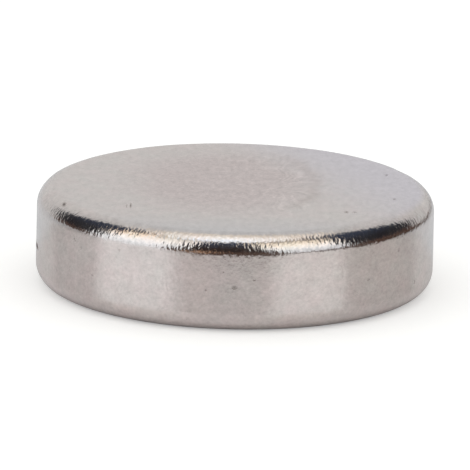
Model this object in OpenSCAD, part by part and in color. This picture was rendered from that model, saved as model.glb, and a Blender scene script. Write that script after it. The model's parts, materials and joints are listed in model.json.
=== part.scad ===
// Nickel-plated disc magnet: a pressed and sintered disc with two ground flat faces,
// tumbled until both rims are round, then plated all over. It is one solid piece.
// The origin is the centre of the lower face, and the disc's axis is +Z.

/* [Disc] */
// Outside diameter, across the wall
disc_d = 12; // [8:0.5:20]
// Thickness, from face to face
disc_t = 3; // [2:0.1:6]

/* [Rims] */
// Radius of the tumbled rim between the lower face and the wall
lower_rim_r = 0.62; // [0.1:0.02:0.9]
// Radius of the tumbled rim between the upper face and the wall
upper_rim_r = 0.62; // [0.1:0.02:0.9]

/* [Hidden] */
$fn = 180;
disc_r = disc_d / 2;

// A rim's round, as a full circle that touches the wall and one face
module rim_round(rim_r, centre_z) {
    translate([disc_r - rim_r, centre_z]) circle(r = rim_r);
}

// Half of the section through the axis: the flat faces, the straight wall and the rims' rounds.
// The lower and upper slabs reach in from each round, and the middle slab reaches out to the wall.
module half_section() {
    wall_low = lower_rim_r;
    wall_high = disc_t - upper_rim_r;
    square([disc_r - lower_rim_r, wall_high]);
    translate([0, wall_low]) square([disc_r - upper_rim_r, disc_t - wall_low]);
    translate([0, wall_low]) square([disc_r, wall_high - wall_low]);
    rim_round(lower_rim_r, wall_low);
    rim_round(upper_rim_r, wall_high);
}

module magnet() {
    color([0.78, 0.75, 0.73]) rotate_extrude() half_section();
}

magnet();
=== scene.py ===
import json
import math

import bpy
import numpy as np
from mathutils import Euler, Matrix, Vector


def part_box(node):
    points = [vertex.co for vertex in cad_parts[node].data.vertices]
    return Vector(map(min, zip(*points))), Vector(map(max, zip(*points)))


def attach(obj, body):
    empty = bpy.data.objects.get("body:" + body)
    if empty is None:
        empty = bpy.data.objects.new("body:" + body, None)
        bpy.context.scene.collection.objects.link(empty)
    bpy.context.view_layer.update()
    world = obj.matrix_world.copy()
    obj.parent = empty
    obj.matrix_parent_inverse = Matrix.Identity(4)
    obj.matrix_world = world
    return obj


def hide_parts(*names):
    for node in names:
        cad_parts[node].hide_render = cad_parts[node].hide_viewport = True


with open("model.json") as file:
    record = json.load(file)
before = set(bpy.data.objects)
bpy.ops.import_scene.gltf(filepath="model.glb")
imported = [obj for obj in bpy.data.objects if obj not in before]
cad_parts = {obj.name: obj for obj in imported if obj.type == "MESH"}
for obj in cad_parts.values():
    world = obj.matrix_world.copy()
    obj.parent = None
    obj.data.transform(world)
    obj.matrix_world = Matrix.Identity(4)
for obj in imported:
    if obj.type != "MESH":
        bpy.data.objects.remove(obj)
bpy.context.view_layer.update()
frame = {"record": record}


# Camera
# A long lens looks at the disc from 14 degrees above its upper face, rolled by about a degree.
# It stands sixty radii away, so that the disc's outline has next to no perspective.
low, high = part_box("magnet")
disc_middle = (low + high) / 2
disc_radius = (high.x - low.x) / 2
view_elevation = math.radians(14.4)
camera_roll = math.radians(1.27)
camera_distance = 60 * disc_radius
disc_width_px = 397.5
frame_width_px = 470

lens = bpy.data.cameras.new("long_lens")
lens.sensor_width = 36
disc_share = disc_width_px / frame_width_px
lens.lens = lens.sensor_width * disc_share * camera_distance / (2 * disc_radius)
camera = bpy.data.objects.new("camera", lens)
bpy.context.scene.collection.objects.link(camera)
towards_camera = Vector((0, -math.cos(view_elevation), math.sin(view_elevation)))
camera.location = disc_middle + towards_camera * camera_distance
camera.rotation_mode = "QUATERNION"
level_aim = (-towards_camera).to_track_quat("-Z", "Y")
camera.rotation_quaternion = level_aim @ Euler((0, 0, camera_roll)).to_quaternion()
bpy.context.scene.camera = camera


# Disc magnet
# A disc of pressed and sintered magnet powder with two ground faces. Tumbling rounds its rims,
# and a bright nickel plate covers it all, so the powder's pores and knocks show through the plate.
mm = 0.001
um = 1e-6
disc_thickness = high.z - low.z
wall_mount = next(m for m in frame["record"]["mounts"] if m["name"] == "wall")
rim_radius = (disc_thickness - wall_mount["dims"]["length_mm"] * mm) / 2
face_radius = disc_radius - rim_radius
face_cells = 160
around = 4 * face_cells
rim_steps = 22
wall_steps = 30


def round_face(cells):
    """A square grid bent into a unit disc. The greater of |u| and |v| is the radius, and the
    place along the square's side is the angle, so squares about the middle become circles."""
    side = np.linspace(-1, 1, cells + 1)
    v, u = np.meshgrid(side, side, indexing="ij")
    wide = np.abs(u) >= np.abs(v)
    longer, shorter = np.where(wide, u, v), np.where(wide, v, u)
    slope = np.divide(shorter, longer, out=np.zeros_like(u), where=longer != 0)
    angle = np.where(wide, slope, 2 - slope) * np.pi / 4
    return longer * np.cos(angle), longer * np.sin(angle)


def edge_of(grid):
    """The grid's outer points in order, anticlockwise from the corner where u is most and v least."""
    return np.concatenate([grid[:-1, -1], grid[-1, :0:-1], grid[:0:-1, 0], grid[0, :-1]])


def side_profile():
    """The side's section from the lower face to the upper one: a quarter circle, a straight wall
    and a quarter circle. Returns the radius, the height and the slope of the outward normal."""
    rise = np.linspace(0, np.pi / 2, rim_steps + 1)
    upright = np.zeros(wall_steps - 1)
    slope = np.concatenate([rise - np.pi / 2, upright, rise])
    lower_centre, upper_centre = rim_radius, disc_thickness - rim_radius
    centre = np.concatenate(
        [
            np.full(rim_steps, lower_centre),
            np.linspace(lower_centre, upper_centre, wall_steps + 1),
            np.full(rim_steps, upper_centre),
        ]
    )
    return face_radius + rim_radius * np.cos(slope), centre + rim_radius * np.sin(slope), slope


def disc_skin():
    """The disc as one closed skin of quads: two round faces, and the side profile carried round.
    The map lays the faces flat and cuts the side into two strips. Returns points, normals, quads
    and the quads' corners on the map."""
    face_x, face_y = (face_radius * part.ravel() for part in round_face(face_cells))
    face = np.stack([face_x, face_y, 0 * face_x], axis=1)
    out, z, slope = side_profile()
    turn = -np.pi / 4 + 2 * np.pi * np.arange(around) / around

    def carried_round(outward, upward):
        """Carries one radius and height per ring round the axis."""
        x, y = np.outer(outward, np.cos(turn)), np.outer(outward, np.sin(turn))
        return np.stack([x, y, np.outer(upward, np.ones(around))], axis=2).reshape(-1, 3)

    inner = slice(1, -1)
    side = carried_round(out[inner], z[inner])
    side_normals = carried_round(np.cos(slope[inner]), np.sin(slope[inner]))
    up = np.broadcast_to([0, 0, 1.0], face.shape)
    points = np.concatenate([face, face + up * disc_thickness, side])
    normals = np.concatenate([-up, up, side_normals])

    grid = np.arange(len(face)).reshape(face_cells + 1, face_cells + 1)
    corners = [grid[:-1, :-1], grid[:-1, 1:], grid[1:, 1:], grid[1:, :-1]]
    lower_quads = np.stack(corners[::-1], axis=2).reshape(-1, 4)
    upper_quads = np.stack(corners, axis=2).reshape(-1, 4)
    rings = np.arange(len(side)).reshape(-1, around) + 2 * len(face)
    rings = np.vstack([edge_of(grid), rings, edge_of(grid) + len(face)])
    beside = np.roll(rings, -1, axis=1)
    side_quads = np.stack([rings[:-1], beside[:-1], beside[1:], rings[1:]], axis=2).reshape(-1, 4)
    quads = np.concatenate([lower_quads, upper_quads + len(face), side_quads])

    gap = 0.3 * mm
    sheet = 4 * face_radius + 3 * gap
    middle = face_radius + gap
    lower_map = face[lower_quads][..., :2] * [-1, 1] + middle
    upper_map = face[upper_quads][..., :2] + [middle + 2 * face_radius + gap, middle]
    height = np.concatenate([[0], np.cumsum(np.hypot(np.diff(out), np.diff(z)))])
    ring, step = np.meshgrid(np.arange(len(z) - 1), np.arange(around), indexing="ij")
    strip, place = np.divmod(step, around // 2)
    cell = 2 * np.pi * disc_radius / around
    across = np.stack([place, place + 1, place + 1, place], axis=2) * cell + gap
    floor = 2 * middle + strip * (height[-1] + gap)
    upward = np.stack([height[ring], height[ring], height[ring + 1], height[ring + 1]], axis=2)
    side_map = np.stack([across, upward + floor[..., None]], axis=3).reshape(-1, 4, 2)
    return points, normals, quads, np.concatenate([lower_map, upper_map, side_map]) / sheet


def waves(points, shortest, longest, count, seed):
    """A smooth uneven height: many plane waves in random directions, added up and divided by the
    root of their number, so that it is about 1 high. Their lengths run from shortest to longest."""
    random = np.random.default_rng(seed)
    heading = random.normal(size=(count, 3))
    heading /= np.linalg.norm(heading, axis=1, keepdims=True)
    length = np.exp(random.uniform(np.log(shortest), np.log(longest), count))
    phase = random.uniform(0, 2 * np.pi, count)
    return np.sin(points @ (heading * (2 * np.pi / length[:, None])).T + phase).sum(axis=1) / np.sqrt(count)


def on_wall(degrees, height, out=1.0):
    """A place on the wall in millimetres: degrees from the front to the right, and its height.
    The last number draws it in from the wall, as a share of the disc's radius."""
    turn = math.radians(degrees)
    from_middle = disc_radius / mm * out
    return (from_middle * math.sin(turn), -from_middle * math.cos(turn), height)


def dent(points, place, radius, depth):
    """A round knock: a bell curve about a place, so that the skin sinks most at its middle."""
    away = np.linalg.norm(points - np.array(place) * mm, axis=1) / (radius * mm)
    return -depth * um * np.exp(-(away**2))


# The rims are uneven by about 4 um and the whole skin by a quarter of one. The highest place keeps
# the CAD surface and all others sink below it, less and less towards the lower face, which is flat.
rim_unevenness = 4 * um
skin_unevenness = 0.25 * um
seat_height = 0.3 * mm
points, normals, quads, quad_map = disc_skin()
steep = np.hypot(normals[:, 0], normals[:, 1])
on_rim = 2 * steep * np.abs(normals[:, 2])
above_seat = np.clip(points[:, 2] / seat_height, 0, 1)
height = rim_unevenness * on_rim * waves(points, 1.5 * mm, 5 * mm, 40, seed=1)
height += skin_unevenness * waves(points, 0.35 * mm, 0.9 * mm, 60, seed=2)

# Each knock's place, its radius in millimetres and its depth in um
knocks = [
    (on_wall(-31, 2.75, 0.97), 0.22, 9),
    (on_wall(24, 2.8, 0.96), 0.25, 9),
    (on_wall(72, 2.75, 0.97), 0.3, 14),
    (on_wall(118, 2.8, 0.97), 0.35, 16),
    (on_wall(-146, 2.7, 0.98), 0.3, 14),
]
for place, radius, depth in knocks:
    height += dent(points, place, radius, depth)
points += normals * ((height - height.max()) * above_seat)[:, None]

skin = bpy.data.meshes.new("magnet_body")
skin.vertices.add(len(points))
skin.vertices.foreach_set("co", points.ravel())
skin.loops.add(quads.size)
skin.loops.foreach_set("vertex_index", quads.ravel())
skin.polygons.add(len(quads))
skin.polygons.foreach_set("loop_start", np.arange(0, quads.size, 4))
skin.update(calc_edges=True)
skin.shade_smooth()
skin.uv_layers.new(name="OFBake").uv.foreach_set("vector", quad_map.ravel())
magnet = bpy.data.objects.new("magnet_body", skin)
bpy.context.scene.collection.objects.link(magnet)


def linear(hex_colour):
    """An sRGB hex colour as linear red, green, blue and alpha."""
    srgb = np.array([int(hex_colour[i : i + 2], 16) for i in (1, 3, 5)]) / 255
    return (*np.where(srgb <= 0.04045, srgb / 12.92, ((srgb + 0.055) / 1.055) ** 2.4).tolist(), 1.0)


def add(tree, kind, sockets=None, **settings):
    """Adds a node with its settings. A socket is given a value, or the output that it is linked to."""
    made = tree.nodes.new(kind)
    for name, value in settings.items():
        setattr(made, name, value)
    for name, value in (sockets or {}).items():
        if isinstance(value, bpy.types.NodeSocket):
            tree.links.new(value, made.inputs[name])
        else:
            made.inputs[name].default_value = value
    return made


# A pore's darkness is partly painted shade, for the dark that a pit mirrors, and partly open powder or dirt
# Each pore's place, its reach along X, Y and Z in millimetres, and how dark it is: less than 1 is
# faint, 1 is dark at its middle, and more is dark further out
top = disc_thickness / mm
pores_and_pit_shade = [
    (on_wall(0.2, 1.44), (0.18, 0.18, 0.14), 0.55),
    (on_wall(5.8, 1.67), (0.22, 0.22, 0.15), 0.28),
    (on_wall(-8, 1.32), (0.25, 0.25, 0.15), 0.24),
    (on_wall(-3, 1.9), (0.18, 0.18, 0.16), 0.2),
    (on_wall(42, 1.37), (0.18, 0.18, 0.16), 0.4),
    (on_wall(55, 2.04), (0.16, 0.16, 0.2), 0.4),
    (on_wall(64.5, 0.83), (0.16, 0.16, 0.18), 0.4),
    (on_wall(-35, 2.22), (0.16, 0.16, 0.13), 0.35),
    (on_wall(-45, 1.26), (0.16, 0.16, 0.13), 0.35),
    (on_wall(-50, 1.99), (0.16, 0.16, 0.18), 0.35),
    (on_wall(-53, 2.19), (0.16, 0.16, 0.18), 0.45),
    (on_wall(-84.5, 1.2), (0.3, 0.38, 0.085), 1.4),
    ((-5.14, -2.35, 2.94), (0.09, 0.22, 0.1), 1.0),
    ((-3.26, -2.6, top), (0.05, 0.42, 0.05), 0.65),
    ((-3.14, -2.54, top), (0.05, 0.5, 0.05), 0.85),
    ((4.55, 1.87, top), (0.1, 0.28, 0.05), 0.65),
    ((4.77, -1.07, top), (0.1, 0.28, 0.05), 0.65),
    ((3.32, -2.78, top), (0.13, 0.28, 0.05), 0.7),
    ((3.57, -2.76, top), (0.15, 0.24, 0.05), 0.55),
]


def bright_nickel():
    """Bright nickel plate over tumbled magnet powder. It mirrors softly, because a fine grain and
    upright streaks break up its mirror image. The powder's pores stay open as dark specks, whose
    dark is partly painted shade for the dark that a pit mirrors, and a dull warm stain with a brown
    edge lies on the upper face, where a drop has dried."""
    material = bpy.data.materials.new("bright_nickel_plate")
    material.use_nodes = True
    tree = material.node_tree
    tree.nodes.clear()
    place = add(tree, "ShaderNodeTexCoord").outputs["Object"]
    in_mm = add(tree, "ShaderNodeMapping", {"Vector": place, "Scale": (1 / mm,) * 3}).outputs["Vector"]
    axes = add(tree, "ShaderNodeSeparateXYZ", {"Vector": in_mm}).outputs
    level = add(
        tree,
        "ShaderNodeVectorMath",
        {0: in_mm, 1: (1, 1, 0)},
        operation="MULTIPLY",
    ).outputs["Vector"]
    outward = add(tree, "ShaderNodeVectorMath", {0: level}, operation="NORMALIZE").outputs["Vector"]
    from_axis = add(tree, "ShaderNodeVectorMath", {0: level}, operation="LENGTH").outputs["Value"]

    # Upper is 1 on the upper face, and fades to 0 over the first tenth of a millimetre below it
    upper = add(
        tree,
        "ShaderNodeMapRange",
        {"Value": axes["Z"], "From Min": top - 0.12, "From Max": top - 0.02},
    ).outputs["Result"]

    # The plate's own colour is uneven in patches of 0.6 mm. The upper face is bluer towards the
    # right, and greyer at its front.
    patch_width = 0.625
    patches = add(
        tree,
        "ShaderNodeTexNoise",
        {"Vector": in_mm, "Scale": 1 / patch_width, "Detail": 3.0},
    ).outputs["Fac"]
    patch = add(
        tree,
        "ShaderNodeMapRange",
        {"Value": patches, "From Min": 0.3, "From Max": 0.7},
    ).outputs["Result"]
    plate = add(
        tree,
        "ShaderNodeMixRGB",
        {"Fac": patch, "Color1": linear("#E4DAD6"), "Color2": linear("#E0DBD6")},
    ).outputs["Color"]
    sideways = add(tree, "ShaderNodeVectorMath", {0: in_mm, 1: (0.9, 0.45, 0)}, operation="DOT_PRODUCT")
    cool = add(
        tree,
        "ShaderNodeMapRange",
        {"Value": sideways.outputs["Value"], "From Min": 1.0, "From Max": 5.0},
        interpolation_type="SMOOTHSTEP",
    ).outputs["Result"]
    cool = add(tree, "ShaderNodeMath", {0: cool, 1: upper}, operation="MULTIPLY").outputs["Value"]
    plate = add(
        tree,
        "ShaderNodeMixRGB",
        {"Fac": cool, "Color1": plate, "Color2": linear("#DFDBE2")},
    ).outputs["Color"]
    near_front = add(
        tree,
        "ShaderNodeMapRange",
        {"Value": axes["Y"], "From Min": -3.4, "From Max": -5.2},
    ).outputs["Result"]
    near_front = add(
        tree,
        "ShaderNodeMath",
        {0: near_front, 1: upper},
        operation="MULTIPLY",
    ).outputs["Value"]
    plate = add(
        tree,
        "ShaderNodeMixRGB",
        {"Fac": near_front, "Color1": plate, "Color2": linear("#D9D6D5")},
    ).outputs["Color"]

    # The stain is about 6 by 8 mm. Its edge is brown on the right side, and wanders by up to 0.9 mm,
    # in lobes of 1.1 mm.
    stain_half_x = 2.9
    stain_half_y = 4.0
    stain_y = 1.05
    edge_wander = 0.9
    lobe_width = 1 / 0.9
    ragged = add(
        tree,
        "ShaderNodeTexNoise",
        {"Vector": in_mm, "Scale": 1 / lobe_width, "Detail": 4.0},
    ).outputs["Color"]
    moved = add(
        tree,
        "ShaderNodeVectorMath",
        {0: ragged, 1: (edge_wander, edge_wander, 0), 2: in_mm},
        operation="MULTIPLY_ADD",
    ).outputs["Vector"]
    from_stain = add(
        tree,
        "ShaderNodeVectorMath",
        {0: moved, 1: (1 / stain_half_x, 1 / stain_half_y, 0), 2: (0, -stain_y / stain_half_y, 0)},
        operation="MULTIPLY_ADD",
    ).outputs["Vector"]
    stain_reach = add(tree, "ShaderNodeVectorMath", {0: from_stain}, operation="LENGTH").outputs["Value"]
    inside = add(
        tree,
        "ShaderNodeMapRange",
        {"Value": stain_reach, "From Min": 1.25, "From Max": 0.5},
        interpolation_type="SMOOTHSTEP",
    ).outputs["Result"]
    stain = add(tree, "ShaderNodeMath", {0: inside, 1: upper}, operation="MULTIPLY").outputs["Value"]
    stained = add(
        tree,
        "ShaderNodeMixRGB",
        {"Fac": stain, "Color1": plate, "Color2": linear("#DACDCA")},
    ).outputs["Color"]
    off_edge = add(
        tree,
        "ShaderNodeMath",
        {0: stain_reach, 1: 1.0},
        operation="SUBTRACT",
    ).outputs["Value"]
    off_edge = add(tree, "ShaderNodeMath", {0: off_edge}, operation="ABSOLUTE").outputs["Value"]
    edge = add(
        tree,
        "ShaderNodeMapRange",
        {"Value": off_edge, "From Min": 0.12, "From Max": 0.0, "To Max": 0.24},
        interpolation_type="SMOOTHSTEP",
    ).outputs["Result"]
    right_side = add(
        tree,
        "ShaderNodeMapRange",
        {"Value": axes["X"], "From Min": 1.0, "From Max": 1.9},
    ).outputs["Result"]
    edge = add(tree, "ShaderNodeMath", {0: edge, 1: right_side}, operation="MULTIPLY").outputs["Value"]
    edge = add(tree, "ShaderNodeMath", {0: edge, 1: upper}, operation="MULTIPLY").outputs["Value"]
    stained = add(
        tree,
        "ShaderNodeMixRGB",
        {"Fac": edge, "Color1": stained, "Color2": linear("#A8958C")},
    ).outputs["Color"]

    # Faint bent strokes fan out to the right from a point in the stain, where it was wiped. They
    # lean to the Y axis, because the fan is drawn with Y at a third of its real length.
    y_share = 0.33
    fan_x = 1.65
    fan_y = 0.18 / y_share
    strokes_per_radian = 6
    bends_per_mm = 1.5
    off_fan = add(
        tree,
        "ShaderNodeVectorMath",
        {0: moved, 1: (1, y_share, 0), 2: (-fan_x, -fan_y * y_share, 0)},
        operation="MULTIPLY_ADD",
    ).outputs["Vector"]
    fan_heading = add(tree, "ShaderNodeVectorMath", {0: off_fan}, operation="NORMALIZE").outputs["Vector"]
    fan_reach = add(tree, "ShaderNodeVectorMath", {0: off_fan}, operation="LENGTH").outputs["Value"]
    fan_length = add(
        tree,
        "ShaderNodeMath",
        {0: fan_reach, 1: bends_per_mm},
        operation="MULTIPLY",
    ).outputs["Value"]
    fan_length = add(tree, "ShaderNodeCombineXYZ", {"Z": fan_length}).outputs["Vector"]
    fan_laid = add(
        tree,
        "ShaderNodeVectorMath",
        {0: fan_heading, 1: (strokes_per_radian, strokes_per_radian, 0), 2: fan_length},
        operation="MULTIPLY_ADD",
    ).outputs["Vector"]
    fan = add(
        tree,
        "ShaderNodeTexNoise",
        {"Vector": fan_laid, "Scale": 1.0, "Detail": 2.5},
    ).outputs["Fac"]
    fan = add(tree, "ShaderNodeMath", {0: fan, 1: 0.5}, operation="SUBTRACT").outputs["Value"]
    in_fan = add(
        tree,
        "ShaderNodeMapRange",
        {"Value": fan_reach, "From Min": 1.6, "From Max": 0.7, "To Max": 0.75},
    ).outputs["Result"]
    off_centre = add(
        tree,
        "ShaderNodeMapRange",
        {"Value": fan_reach, "From Min": 0.05, "From Max": 0.4},
    ).outputs["Result"]
    in_fan = add(
        tree,
        "ShaderNodeMath",
        {0: in_fan, 1: off_centre},
        operation="MULTIPLY",
    ).outputs["Value"]
    rightward = add(tree, "ShaderNodeSeparateXYZ", {"Vector": fan_heading}).outputs["X"]
    opens_right = add(
        tree,
        "ShaderNodeMapRange",
        {"Value": rightward, "From Min": -0.5, "From Max": 0.2, "To Min": 0.1},
    ).outputs["Result"]
    in_fan = add(
        tree,
        "ShaderNodeMath",
        {0: in_fan, 1: opens_right},
        operation="MULTIPLY",
    ).outputs["Value"]
    in_fan = add(tree, "ShaderNodeMath", {0: in_fan, 1: upper}, operation="MULTIPLY").outputs["Value"]

    # A mottle of 0.2 mm, drawn out along Y by the grinding, and a grain of eleven to the millimetre.
    # The real grain is finer, and is drawn as coarse as it needs to be to show. Both are a few
    # hundredths lighter and darker, and more so on the stain. The grain is also stronger on the wall.
    mottle_width = 0.2
    grain_width = 1 / 11
    shorter_y = 0.45
    drawn_out = add(
        tree,
        "ShaderNodeVectorMath",
        {0: in_mm, 1: (1, shorter_y, 1)},
        operation="MULTIPLY",
    ).outputs["Vector"]
    mottle = add(
        tree,
        "ShaderNodeTexNoise",
        {"Vector": drawn_out, "Scale": 1 / mottle_width, "Detail": 1.5},
    ).outputs["Fac"]
    mottle = add(tree, "ShaderNodeMath", {0: mottle, 1: 0.5}, operation="SUBTRACT").outputs["Value"]
    grain = add(
        tree,
        "ShaderNodeTexNoise",
        {"Vector": in_mm, "Scale": 1 / grain_width, "Detail": 1.0},
    ).outputs["Fac"]
    grain = add(tree, "ShaderNodeMath", {0: grain, 1: 0.5}, operation="SUBTRACT").outputs["Value"]
    plate_mottle = 0.27
    wall_grain = 0.32
    face_grain = 0.17
    stain_grain = 0.3
    grain_share = add(
        tree,
        "ShaderNodeMath",
        {0: upper, 1: face_grain - wall_grain, 2: wall_grain},
        operation="MULTIPLY_ADD",
    ).outputs["Value"]
    grain_share = add(
        tree,
        "ShaderNodeMath",
        {0: stain, 1: stain_grain, 2: grain_share},
        operation="MULTIPLY_ADD",
    ).outputs["Value"]
    by_fan = add(
        tree,
        "ShaderNodeMapRange",
        {"Value": fan_reach, "From Min": 3.2, "From Max": 1.2, "To Min": 0.07, "To Max": 0.24},
    ).outputs["Result"]
    mottle_share = add(
        tree,
        "ShaderNodeMath",
        {0: stain, 1: by_fan, 2: plate_mottle},
        operation="MULTIPLY_ADD",
    ).outputs["Value"]
    light = add(
        tree,
        "ShaderNodeMath",
        {0: mottle, 1: mottle_share, 2: 1.0},
        operation="MULTIPLY_ADD",
    ).outputs["Value"]
    light = add(
        tree,
        "ShaderNodeMath",
        {0: grain, 1: grain_share, 2: light},
        operation="MULTIPLY_ADD",
    ).outputs["Value"]
    light = add(
        tree,
        "ShaderNodeMath",
        {0: fan, 1: in_fan, 2: light},
        operation="MULTIPLY_ADD",
    ).outputs["Value"]
    mottled = add(
        tree,
        "ShaderNodeVectorMath",
        {0: stained, "Scale": light},
        operation="SCALE",
    ).outputs["Vector"]

    # Pores: the least of the distances to each pore. 0 is the middle of a deep one, and 1 is outside.
    # The Voronoi pattern strews faint ones 1.25 mm apart, also over the sides that the list leaves out.
    strewn_apart = 1.25
    strewn_reach = 0.0625
    strewn_darkness = 0.3
    distance = add(
        tree,
        "ShaderNodeTexVoronoi",
        {"Vector": in_mm, "Scale": 1 / strewn_apart},
    ).outputs["Distance"]
    nearest = add(
        tree,
        "ShaderNodeMath",
        {0: distance, 1: strewn_apart / strewn_reach, 2: 1 - strewn_darkness},
        operation="MULTIPLY_ADD",
    ).outputs["Value"]
    for centre, size, darkness in pores_and_pit_shade:
        inverse = tuple(1 / s for s in size)
        offset = tuple(-c / s for c, s in zip(centre, size))
        away = add(
            tree,
            "ShaderNodeVectorMath",
            {0: in_mm, 1: inverse, 2: offset},
            operation="MULTIPLY_ADD",
        )
        length = add(
            tree,
            "ShaderNodeVectorMath",
            {0: away.outputs["Vector"]},
            operation="LENGTH",
        ).outputs["Value"]
        length = add(
            tree,
            "ShaderNodeMath",
            {0: length, 1: 1 - darkness},
            operation="ADD",
        ).outputs["Value"]
        nearest = add(
            tree,
            "ShaderNodeMath",
            {0: nearest, 1: length},
            operation="MINIMUM",
        ).outputs["Value"]
    pore_and_pit_shade = add(
        tree,
        "ShaderNodeMapRange",
        {"Value": nearest, "From Min": 1.0, "From Max": 0.0},
    ).outputs["Result"]
    # The pores' dark colour is partly painted shade, for the dark that a pit mirrors, and partly open powder
    # or dirt
    colour = add(
        tree,
        "ShaderNodeMixRGB",
        {"Fac": pore_and_pit_shade, "Color1": mottled, "Color2": linear("#453C39")},
    ).outputs["Color"]

    # Heights in um: the grain, which is higher on the rims, and streaks as wide as it that run up
    # the wall and over the rims. The streaks' pattern is laid round the disc and along its section.
    grain_um = 3.0
    rim_grain_um = 5.0
    streak_um = 3.0
    rim_streak_um = 11.0
    pore_um = 10.0
    streaks_per_radian = round(disc_radius / mm / grain_width)
    streak_run = 0.2
    wall_half = top / 2 - rim_radius / mm
    off_middle = add(
        tree,
        "ShaderNodeMath",
        {0: axes["Z"], 1: top / 2},
        operation="SUBTRACT",
    ).outputs["Value"]
    off_middle = add(tree, "ShaderNodeMath", {0: off_middle}, operation="ABSOLUTE").outputs["Value"]
    beyond_wall = add(
        tree,
        "ShaderNodeMapRange",
        {"Value": off_middle, "From Min": wall_half - 0.08, "From Max": wall_half + 0.08},
    ).outputs["Result"]
    beyond_face = add(
        tree,
        "ShaderNodeMapRange",
        {"Value": from_axis, "From Min": face_radius / mm - 0.05, "From Max": face_radius / mm + 0.1},
    ).outputs["Result"]
    on_a_rim = add(
        tree,
        "ShaderNodeMath",
        {0: beyond_wall, 1: beyond_face},
        operation="MULTIPLY",
    ).outputs["Value"]
    grain_height = add(
        tree,
        "ShaderNodeMath",
        {0: on_a_rim, 1: rim_grain_um - grain_um, 2: grain_um},
        operation="MULTIPLY_ADD",
    ).outputs["Value"]
    section = add(
        tree,
        "ShaderNodeMath",
        {0: axes["Z"], 1: from_axis},
        operation="SUBTRACT",
    ).outputs["Value"]
    section = add(
        tree,
        "ShaderNodeMath",
        {0: section, 1: 1 / streak_run},
        operation="MULTIPLY",
    ).outputs["Value"]
    section = add(tree, "ShaderNodeCombineXYZ", {"Z": section}).outputs["Vector"]
    laid_round = add(
        tree,
        "ShaderNodeVectorMath",
        {0: outward, 1: (streaks_per_radian, streaks_per_radian, 0), 2: section},
        operation="MULTIPLY_ADD",
    ).outputs["Vector"]
    streaks = add(
        tree,
        "ShaderNodeTexNoise",
        {"Vector": laid_round, "Scale": 1.0, "Detail": 1.0},
    ).outputs["Fac"]
    streaks = add(tree, "ShaderNodeMath", {0: streaks, 1: 0.5}, operation="SUBTRACT").outputs["Value"]
    streak_height = add(
        tree,
        "ShaderNodeMath",
        {0: on_a_rim, 1: rim_streak_um - streak_um, 2: streak_um},
        operation="MULTIPLY_ADD",
    ).outputs["Value"]
    streak_height = add(
        tree,
        "ShaderNodeMath",
        {0: streak_height, 1: beyond_face},
        operation="MULTIPLY",
    ).outputs["Value"]
    relief = add(tree, "ShaderNodeMath", {0: pore_and_pit_shade, 1: -pore_um}, operation="MULTIPLY").outputs["Value"]
    relief = add(
        tree,
        "ShaderNodeMath",
        {0: grain, 1: grain_height, 2: relief},
        operation="MULTIPLY_ADD",
    ).outputs["Value"]
    relief = add(
        tree,
        "ShaderNodeMath",
        {0: streaks, 1: streak_height, 2: relief},
        operation="MULTIPLY_ADD",
    ).outputs["Value"]
    bumpy = add(
        tree,
        "ShaderNodeBump",
        {"Height": relief, "Strength": 1.0, "Distance": um},
    ).outputs["Normal"]

    # The stain is duller. A pore is open powder or dirt, which isn't metal and doesn't mirror; its
    # dark, matt look is also painted shade, for the dark that a pit mirrors.
    stain_dulling = 0.06
    pore_dulling = 0.5
    uneven = add(
        tree,
        "ShaderNodeMapRange",
        {"Value": patches, "From Min": 0.3, "From Max": 0.7, "To Min": 0.13, "To Max": 0.18},
    ).outputs["Result"]
    roughness = add(
        tree,
        "ShaderNodeMath",
        {0: stain, 1: stain_dulling, 2: uneven},
        operation="MULTIPLY_ADD",
    ).outputs["Value"]
    roughness = add(
        tree,
        "ShaderNodeMath",
        {0: pore_and_pit_shade, 1: pore_dulling, 2: roughness},
        operation="MULTIPLY_ADD",
    ).outputs["Value"]
    metallic = add(tree, "ShaderNodeMath", {0: 1.0, 1: pore_and_pit_shade}, operation="SUBTRACT").outputs["Value"]
    shader = add(
        tree,
        "ShaderNodeBsdfPrincipled",
        {
            "Base Color": colour,
            "Metallic": metallic,
            "Roughness": roughness,
            "Specular IOR Level": 0.0,
            "Normal": bumpy,
        },
    )
    add(tree, "ShaderNodeOutputMaterial", {"Surface": shader.outputs["BSDF"]})
    return material


skin.materials.append(bright_nickel())
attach(magnet, "root")
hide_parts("magnet")


# Studio
# A white board inside a light tent. The tent's side walls and roof are lit from outside, its back
# is dimmer, and it has three openings. The metal mirrors all of it, and that makes most of its look.

# The board reaches 3 m each way, past the frame. It lies a hair under the lower face, because two
# faces in one plane would flicker.
table_half = 3.0
table_level = -0.01 * mm
table_mesh = bpy.data.meshes.new("table")
corners = [(x * table_half, y * table_half, table_level) for x, y in ((-1, -1), (1, -1), (1, 1), (-1, 1))]
table_mesh.from_pydata(corners, [], [(0, 1, 2, 3)])
table = bpy.data.objects.new("table", table_mesh)
bpy.context.scene.collection.objects.link(table)


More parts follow.
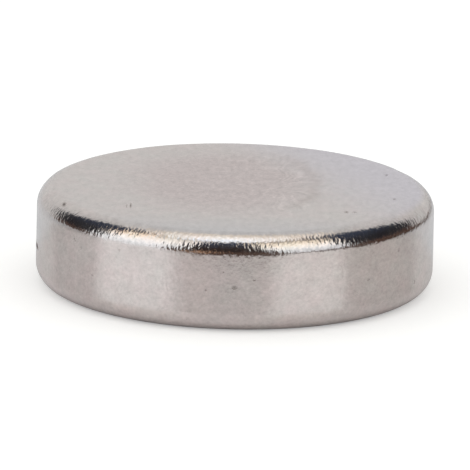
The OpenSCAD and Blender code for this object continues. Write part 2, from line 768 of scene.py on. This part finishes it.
def white_table():
    """A glossy white board on a brown bench. The metal mirrors the board, which ends to the disc's
    right, and has a notch in front, between two slanting lines. The bench beyond is matt. Painted
    shade makes the board a little darker towards the right, greyer behind the disc and bluish
    further back. The camera sees plain white with the disc's shadow."""
    material = bpy.data.materials.new("white_board")
    material.use_nodes = True
    tree = material.node_tree
    tree.nodes.clear()
    ray = add(tree, "ShaderNodeLightPath").outputs
    place = add(tree, "ShaderNodeTexCoord").outputs["Object"]
    axes = add(tree, "ShaderNodeSeparateXYZ", {"Vector": place}).outputs
    board_gloss = 0.5
    notch_lean = 0.04
    notch_slant = 0.36
    notch_blur = 0.18
    behind_front = add(
        tree,
        "ShaderNodeMapRange",
        {"Value": axes["Y"], "From Min": -20 * mm, "From Max": -16 * mm},
    ).outputs["Result"]
    slant = add(tree, "ShaderNodeMath", {0: axes["X"], 1: axes["Y"]}, operation="DIVIDE").outputs["Value"]
    slant = add(tree, "ShaderNodeMath", {0: slant, 1: notch_lean}, operation="ADD").outputs["Value"]
    slant = add(tree, "ShaderNodeMath", {0: slant}, operation="ABSOLUTE").outputs["Value"]
    beside_front = add(
        tree,
        "ShaderNodeMapRange",
        {"Value": slant, "From Min": notch_slant, "From Max": notch_slant + notch_blur},
    ).outputs["Result"]
    front = add(
        tree,
        "ShaderNodeMath",
        {0: behind_front, 1: beside_front},
        operation="MAXIMUM",
    ).outputs["Value"]
    right = add(
        tree,
        "ShaderNodeMapRange",
        {"Value": axes["X"], "From Min": 28 * mm, "From Max": 18 * mm},
    ).outputs["Result"]
    on_board = add(tree, "ShaderNodeMath", {0: front, 1: right}, operation="MULTIPLY").outputs["Value"]
    # Painted shade: the board's white darkens towards the right, greys behind the disc and turns bluish
    # further back
    shade_rightwards = add(
        tree,
        "ShaderNodeMapRange",
        {"Value": axes["X"], "From Min": 0.0, "From Max": 12 * mm},
    ).outputs["Result"]
    lit_white = add(
        tree,
        "ShaderNodeMixRGB",
        {"Fac": shade_rightwards, "Color1": linear("#E8E5E7"), "Color2": linear("#E0DCDB")},
    ).outputs["Color"]
    shade_behind_disc = add(
        tree,
        "ShaderNodeMapRange",
        {"Value": axes["Y"], "From Min": -2 * mm, "From Max": 3 * mm},
    ).outputs["Result"]
    lit_white = add(
        tree,
        "ShaderNodeMixRGB",
        {"Fac": shade_behind_disc, "Color1": lit_white, "Color2": linear("#D6D5D6")},
    ).outputs["Color"]
    bluish_shade_far_back = add(
        tree,
        "ShaderNodeMapRange",
        {"Value": axes["Y"], "From Min": 3 * mm, "From Max": 5 * mm},
    ).outputs["Result"]
    lit_white = add(
        tree,
        "ShaderNodeMixRGB",
        {"Fac": bluish_shade_far_back, "Color1": lit_white, "Color2": linear("#D9DDE2")},
    ).outputs["Color"]
    board = add(
        tree,
        "ShaderNodeMixRGB",
        {"Fac": on_board, "Color1": linear("#4E3C33"), "Color2": lit_white},
    ).outputs["Color"]
    gloss = add(
        tree,
        "ShaderNodeMath",
        {0: on_board, 1: board_gloss},
        operation="MULTIPLY",
    ).outputs["Value"]
    mirrored = add(
        tree,
        "ShaderNodeBsdfPrincipled",
        {"Base Color": board, "Roughness": 0.27, "IOR": 1.6, "Specular IOR Level": gloss},
    )
    matt = add(tree, "ShaderNodeBsdfDiffuse", {"Color": linear("#E8E8E6")})
    glow = add(tree, "ShaderNodeEmission", {"Color": (1, 1, 1, 1), "Strength": 0.35})
    seen = add(tree, "ShaderNodeAddShader", {0: matt.outputs["BSDF"], 1: glow.outputs["Emission"]})
    both = add(
        tree,
        "ShaderNodeMixShader",
        {"Fac": ray["Is Camera Ray"], 1: mirrored.outputs["BSDF"], 2: seen.outputs["Shader"]},
    )
    add(tree, "ShaderNodeOutputMaterial", {"Surface": both.outputs["Shader"]})
    return material


table_mesh.materials.append(white_table())

world = bpy.data.worlds.new("light_tent")
bpy.context.scene.world = world
world.use_nodes = True
tree = world.node_tree
tree.nodes.clear()
ray = add(tree, "ShaderNodeLightPath").outputs
heading = add(tree, "ShaderNodeTexCoord").outputs["Generated"]

# Azimuth is 0 towards the camera and 90 to the right, and elevation is 90 straight up, in degrees
towards = add(
    tree,
    "ShaderNodeVectorMath",
    {0: heading, 1: (1, -1, 1)},
    operation="MULTIPLY",
).outputs["Vector"]
parts = add(tree, "ShaderNodeSeparateXYZ", {"Vector": towards}).outputs
azimuth = add(
    tree,
    "ShaderNodeMath",
    {0: parts["X"], 1: parts["Y"]},
    operation="ARCTAN2",
).outputs["Value"]
azimuth = add(tree, "ShaderNodeMath", {0: azimuth}, operation="DEGREES").outputs["Value"]
elevation = add(tree, "ShaderNodeMath", {0: parts["Z"]}, operation="ARCSINE").outputs["Value"]
elevation = add(tree, "ShaderNodeMath", {0: elevation}, operation="DEGREES").outputs["Value"]

# The side walls are brightest a third of the way up, bluish below that and warm above it. The left
# one is brighter than the right one, which is warmer, and both turn orange high up beside the
# disc. The back wall is half as bright, and its middle a little brighter than its ends.
lamp_height = 33.0
lamp_reach = 35.0
brightest = 1.25
dimmest_left = 0.93
dimmest_right = 0.66
on_right = add(tree, "ShaderNodeMath", {0: azimuth, 1: 0.0}, operation="GREATER_THAN").outputs["Value"]
off_lamp = add(
    tree,
    "ShaderNodeMath",
    {0: elevation, 1: lamp_height},
    operation="SUBTRACT",
).outputs["Value"]
off_lamp = add(tree, "ShaderNodeMath", {0: off_lamp}, operation="ABSOLUTE").outputs["Value"]
side_lights = []
for dimmest in (dimmest_left, dimmest_right):
    side_light = add(
        tree,
        "ShaderNodeMapRange",
        {"Value": off_lamp, "From Min": 5.0, "From Max": lamp_reach, "To Min": brightest, "To Max": dimmest},
    ).outputs["Result"]
    side_lights.append(side_light)
wall_light = add(
    tree,
    "ShaderNodeMixRGB",
    {"Fac": on_right, "Color1": side_lights[0], "Color2": side_lights[1]},
).outputs["Color"]
warmer_up = add(
    tree,
    "ShaderNodeMapRange",
    {"Value": elevation, "From Min": 15.0, "From Max": 50.0},
).outputs["Result"]
warm_colour = add(
    tree,
    "ShaderNodeMixRGB",
    {"Fac": on_right, "Color1": (1.03, 1.0, 0.945, 1), "Color2": (1.1, 1.0, 0.84, 1)},
).outputs["Color"]
wall_colour = add(
    tree,
    "ShaderNodeMixRGB",
    {"Fac": warmer_up, "Color1": (0.95, 1.0, 1.05, 1), "Color2": warm_colour},
).outputs["Color"]
side_angle = add(tree, "ShaderNodeMath", {0: azimuth}, operation="ABSOLUTE").outputs["Value"]
outermost = add(
    tree,
    "ShaderNodeMapRange",
    {"Value": side_angle, "From Min": 60.0, "From Max": 85.0},
).outputs["Result"]
high_up = add(
    tree,
    "ShaderNodeMapRange",
    {"Value": elevation, "From Min": 25.0, "From Max": 50.0},
).outputs["Result"]
outermost = add(tree, "ShaderNodeMath", {0: outermost, 1: high_up}, operation="MULTIPLY").outputs["Value"]
wall_colour = add(
    tree,
    "ShaderNodeMixRGB",
    {"Fac": outermost, "Color1": wall_colour, "Color2": (1.15, 0.95, 0.74, 1)},
).outputs["Color"]
wall_light = add(
    tree,
    "ShaderNodeMixRGB",
    {"Fac": 1.0, "Color1": wall_light, "Color2": wall_colour},
    blend_type="MULTIPLY",
).outputs["Color"]
at_side = add(
    tree,
    "ShaderNodeMapRange",
    {"Value": side_angle, "From Min": 110.0, "From Max": 95.0},
).outputs["Result"]
to_middle = add(
    tree,
    "ShaderNodeMapRange",
    {"Value": side_angle, "From Min": 130.0, "From Max": 165.0},
).outputs["Result"]
back_wall = add(
    tree,
    "ShaderNodeMixRGB",
    {"Fac": to_middle, "Color1": (0.57, 0.57, 0.575, 1), "Color2": (0.66, 0.655, 0.655, 1)},
).outputs["Color"]
walls = add(
    tree,
    "ShaderNodeMixRGB",
    {"Fac": at_side, "Color1": back_wall, "Color2": wall_light},
).outputs["Color"]

# The roof is lit from above the front, and is dimmer and warmer away from there. Its front slope
# is bluish.
roof_lamp = (-0.03, -0.17, 0.985)
front_slope = (-0.14, -0.38, 0.914)
to_lamp = add(
    tree,
    "ShaderNodeVectorMath",
    {0: heading, 1: roof_lamp},
    operation="DOT_PRODUCT",
).outputs["Value"]
roof_light = add(
    tree,
    "ShaderNodeMapRange",
    {"Value": to_lamp, "From Min": 0.84, "From Max": 0.995},
).outputs["Result"]
roof_light = add(tree, "ShaderNodeMath", {0: roof_light, 1: 2.0}, operation="POWER").outputs["Value"]
roof_colour = add(
    tree,
    "ShaderNodeMixRGB",
    {"Fac": roof_light, "Color1": (0.86, 0.78, 0.68, 1), "Color2": (1.25, 1.28, 1.3, 1)},
).outputs["Color"]
to_slope = add(
    tree,
    "ShaderNodeVectorMath",
    {0: heading, 1: front_slope},
    operation="DOT_PRODUCT",
).outputs["Value"]
on_slope = add(
    tree,
    "ShaderNodeMapRange",
    {"Value": to_slope, "From Min": 0.955, "From Max": 0.99},
).outputs["Result"]
slope_colour = add(
    tree,
    "ShaderNodeMixRGB",
    {"Fac": 1.0, "Color1": roof_colour, "Color2": (0.91, 1.0, 1.12, 1)},
    blend_type="MULTIPLY",
).outputs["Color"]
roof_colour = add(
    tree,
    "ShaderNodeMixRGB",
    {"Fac": on_slope, "Color1": roof_colour, "Color2": slope_colour},
).outputs["Color"]
on_roof = add(
    tree,
    "ShaderNodeMapRange",
    {"Value": elevation, "From Min": 56.0, "From Max": 70.0},
    interpolation_type="SMOOTHSTEP",
).outputs["Result"]
tent = add(
    tree,
    "ShaderNodeMixRGB",
    {"Fac": on_roof, "Color1": walls, "Color2": roof_colour},
).outputs["Color"]

# A seam shades the top of the side walls, where the roof is sewn on, more so on the right
seam_height = 61.0
seam_shade = add(
    tree,
    "ShaderNodeMapRange",
    {"Value": on_right, "To Min": 0.33, "To Max": 0.5},
).outputs["Result"]
off_seam = add(
    tree,
    "ShaderNodeMath",
    {0: elevation, 1: seam_height},
    operation="SUBTRACT",
).outputs["Value"]
off_seam = add(tree, "ShaderNodeMath", {0: off_seam}, operation="ABSOLUTE").outputs["Value"]
seam = add(
    tree,
    "ShaderNodeMapRange",
    {"Value": off_seam, "From Min": 8.0, "From Max": 2.0, "To Max": seam_shade},
    interpolation_type="SMOOTHSTEP",
).outputs["Result"]
seam = add(tree, "ShaderNodeMath", {0: seam, 1: at_side}, operation="MULTIPLY").outputs["Value"]
tent = add(
    tree,
    "ShaderNodeMixRGB",
    {"Fac": seam, "Color1": tent, "Color2": (0, 0, 0, 1)},
).outputs["Color"]

# The dark room outside: brown at the bench, near black above it, bluish under the ceiling. The
# bench is lit only in front, a little to the left. At the sides, the room is greyer.
lit_azimuth = -20.0
off_lit_bench = add(
    tree,
    "ShaderNodeMath",
    {0: azimuth, 1: lit_azimuth},
    operation="SUBTRACT",
).outputs["Value"]
off_lit_bench = add(tree, "ShaderNodeMath", {0: off_lit_bench}, operation="ABSOLUTE").outputs["Value"]
lit_bench = add(
    tree,
    "ShaderNodeMapRange",
    {"Value": off_lit_bench, "From Min": 11.0, "From Max": 3.0},
).outputs["Result"]
bench = add(
    tree,
    "ShaderNodeMixRGB",
    {"Fac": lit_bench, "Color1": linear("#584740"), "Color2": linear("#BE9A80")},
).outputs["Color"]
bench_up = add(
    tree,
    "ShaderNodeMapRange",
    {"Value": elevation, "From Min": 0.0, "From Max": 16.0},
    interpolation_type="SMOOTHSTEP",
).outputs["Result"]
ceiling_up = add(
    tree,
    "ShaderNodeMapRange",
    {"Value": elevation, "From Min": 25.0, "From Max": 60.0},
).outputs["Result"]
room_side = add(
    tree,
    "ShaderNodeMapRange",
    {"Value": side_angle, "From Min": 50.0, "From Max": 75.0},
).outputs["Result"]
above_bench = add(
    tree,
    "ShaderNodeMixRGB",
    {"Fac": room_side, "Color1": linear("#322927"), "Color2": linear("#28282C")},
).outputs["Color"]
lower_room = add(
    tree,
    "ShaderNodeMixRGB",
    {"Fac": bench_up, "Color1": bench, "Color2": above_bench},
).outputs["Color"]
outside = add(
    tree,
    "ShaderNodeMixRGB",
    {"Fac": ceiling_up, "Color1": lower_room, "Color2": linear("#3A4458")},
).outputs["Color"]

# The openings' edges are softer behind the disc, where the side walls end further away
softness = add(
    tree,
    "ShaderNodeMapRange",
    {"Value": side_angle, "From Min": 100.0, "From Max": 130.0, "To Min": 0.11, "To Max": 0.45},
).outputs["Result"]
outer = add(tree, "ShaderNodeMath", {0: softness, 1: 1.0}, operation="ADD").outputs["Value"]
inner_edge = add(tree, "ShaderNodeMath", {0: 1.0, 1: softness}, operation="SUBTRACT").outputs["Value"]

# Three arched openings, in front, on the left and on the right: the middle's azimuth, how it leans
# with height, half its width, how much wider it is near the bench (narrower where negative), its
# height and how square it is. Inside an arch, the shares of its width and height, each to that
# last power, add up to less than 1.
near_bench = add(
    tree,
    "ShaderNodeMapRange",
    {"Value": elevation, "From Min": 24.0, "From Max": 6.0},
    interpolation_type="SMOOTHSTEP",
).outputs["Result"]
openings = [
    (-6.2, 0.0, 24.5, 8.7, 62.4, 5.0),
    (-106.5, -0.1, 25.5, -6.0, 61.0, 3.5),
    (98.0, -0.02, 33.0, -4.0, 64.0, 3.0),
]
for middle, lean, half_wide, spread, tall, squareness in openings:
    leaning = add(
        tree,
        "ShaderNodeMath",
        {0: elevation, 1: lean, 2: middle},
        operation="MULTIPLY_ADD",
    ).outputs["Value"]
    across = add(tree, "ShaderNodeMath", {0: azimuth, 1: leaning}, operation="SUBTRACT").outputs["Value"]
    half_there = add(
        tree,
        "ShaderNodeMath",
        {0: near_bench, 1: spread, 2: half_wide},
        operation="MULTIPLY_ADD",
    ).outputs["Value"]
    across = add(tree, "ShaderNodeMath", {0: across, 1: half_there}, operation="DIVIDE").outputs["Value"]
    across = add(tree, "ShaderNodeMath", {0: across}, operation="ABSOLUTE").outputs["Value"]
    across = add(tree, "ShaderNodeMath", {0: across, 1: squareness}, operation="POWER").outputs["Value"]
    upwards = add(tree, "ShaderNodeMath", {0: elevation, 1: tall}, operation="DIVIDE").outputs["Value"]
    upwards = add(tree, "ShaderNodeMath", {0: upwards}, operation="ABSOLUTE").outputs["Value"]
    upwards = add(tree, "ShaderNodeMath", {0: upwards, 1: squareness}, operation="POWER").outputs["Value"]
    arch = add(tree, "ShaderNodeMath", {0: across, 1: upwards}, operation="ADD").outputs["Value"]
    opening = add(
        tree,
        "ShaderNodeMapRange",
        {"Value": arch, "From Min": outer, "From Max": inner_edge},
        interpolation_type="SMOOTHSTEP",
    ).outputs["Result"]
    tent = add(
        tree,
        "ShaderNodeMixRGB",
        {"Fac": opening, "Color1": tent, "Color2": outside},
    ).outputs["Color"]

# Matt surfaces are lit by a plain grey, the camera sees white, and mirrored rays see the tent
table_light = (0.925, 0.925, 0.925, 1)
not_camera = add(
    tree,
    "ShaderNodeMixRGB",
    {"Fac": ray["Is Diffuse Ray"], "Color1": tent, "Color2": table_light},
).outputs["Color"]
all_rays = add(
    tree,
    "ShaderNodeMixRGB",
    {"Fac": ray["Is Camera Ray"], "Color1": not_camera, "Color2": (1, 1, 1, 1)},
).outputs["Color"]
lit = add(tree, "ShaderNodeBackground", {"Color": all_rays, "Strength": 1.0})
add(tree, "ShaderNodeOutputWorld", {"Surface": lit.outputs["Background"]})

bpy.context.scene.view_settings.view_transform = "Standard"
